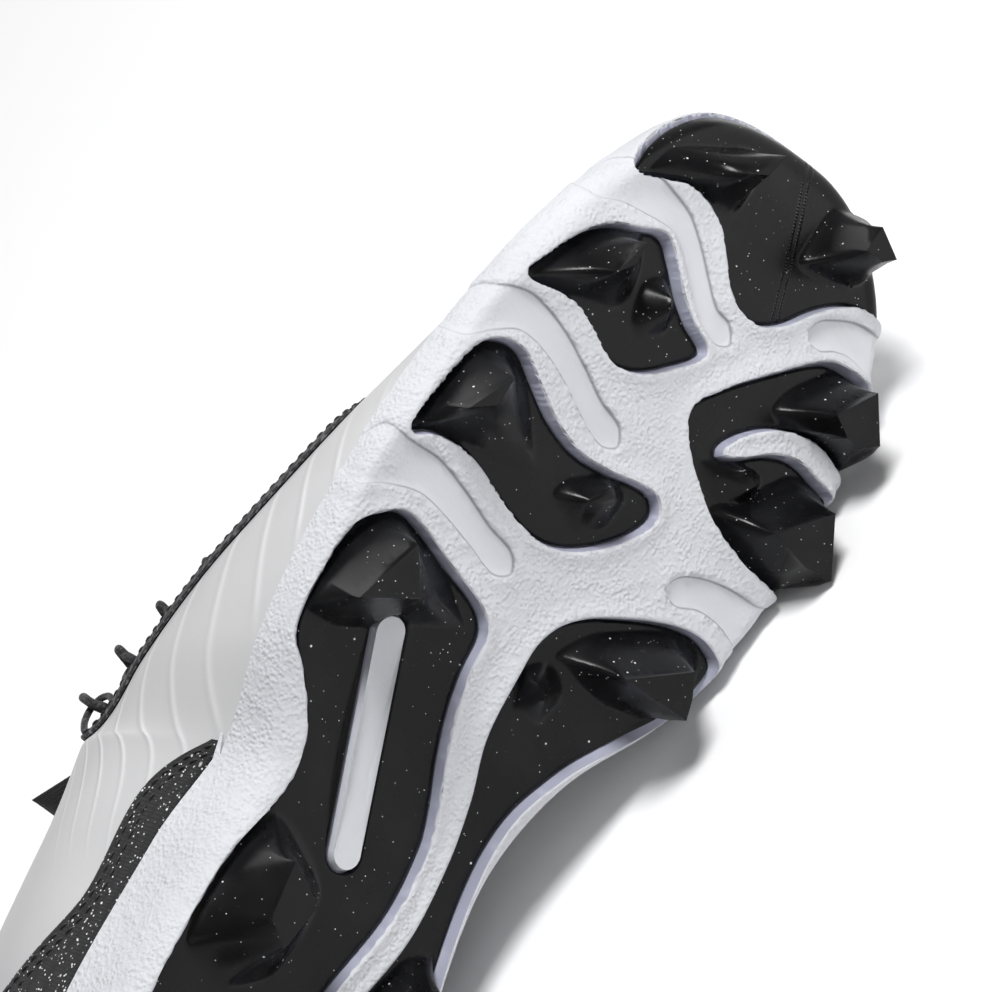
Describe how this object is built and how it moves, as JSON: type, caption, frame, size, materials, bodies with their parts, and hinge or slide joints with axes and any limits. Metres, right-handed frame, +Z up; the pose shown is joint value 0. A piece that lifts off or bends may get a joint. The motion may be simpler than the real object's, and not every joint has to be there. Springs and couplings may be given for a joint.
{
  "type": "baseball cleat",
  "caption": "Right baseball cleat with a foam midsole, moulded stud plates, a hollow laced upper and a padded tongue, lying on its inner side with the sole facing out.",
  "frame": {"origin": "middle of the footprint of the bounding box on the floor, with the shoe lying on its inner side", "axes": "+X from the heel to the toe, +Y from the stud tips to the throat, +Z up, towards the shoe's outer side"},
  "size_m": [0.3, 0.1204, 0.1068],
  "materials": {
    "foam": "moulded foam with a fine pebbled skin",
    "plate": "moulded thermoplastic, satin",
    "upper_skin": "smooth white synthetic",
    "lining": "padded knit",
    "black_band": "woven edge band",
    "panel_fabric": "black knit with white specks",
    "cord": "braided"
  },
  "bodies": {
    "root": {"midsole": "foam", "toe_plate": "plate", "lateral_front_plate": "plate", "medial_front_plate": "plate", "lateral_ball_plate": "plate", "lateral_rear_plate": "plate", "medial_rear_plate": "plate", "upper": "upper_skin", "insole": "lining", "tongue": "lining", "eyestay": "black_band", "rear_panel": "panel_fabric", "lace": "cord", "lace_loop_inner_1": "cord", "lace_loop_inner_2": "cord", "lace_loop_inner_3": "cord", "lace_loop_inner_4": "cord", "lace_loop_inner_5": "cord", "lace_loop_inner_6": "cord", "lace_loop_outer_1": "cord", "lace_loop_outer_2": "cord", "lace_loop_outer_3": "cord", "lace_loop_outer_4": "cord", "lace_loop_outer_5": "cord", "lace_loop_outer_6": "cord"}
  },
  "joints": []
}
